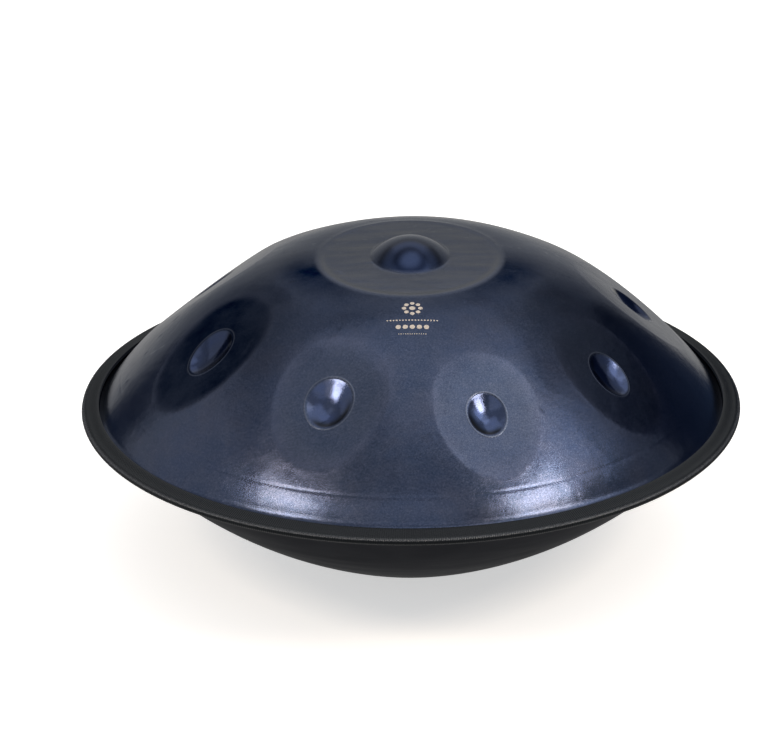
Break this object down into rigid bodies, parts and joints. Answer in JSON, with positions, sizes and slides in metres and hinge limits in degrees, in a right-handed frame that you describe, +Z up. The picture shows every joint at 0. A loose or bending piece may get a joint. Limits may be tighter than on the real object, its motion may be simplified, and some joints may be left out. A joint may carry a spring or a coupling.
{
  "type": "handpan",
  "caption": "Handpan: two domed steel shells bonded rim to rim, with a ding, ring notes and an edge trim above a port in the base.",
  "frame": {"origin": "on the instrument's axis, at the plane of the flat ring that it rests on", "axes": "+Z up through the ding; -Y towards the smallest ring notes; +X to their right"},
  "size_m": [0.54, 0.54, 0.2643],
  "materials": {
    "steel_top": "satin blue-grey nitrided steel with fine brushing",
    "steel_bottom": "satin dark grey nitrided steel",
    "trim": "black ribbed edge trim with a soft sheen",
    "adhesive": "black cured structural adhesive"
  },
  "bodies": {
    "root": {"top_shell": "steel_top", "bottom_shell": "steel_bottom", "rim_trim": "trim", "flange_adhesive": "adhesive"}
  },
  "joints": []
}
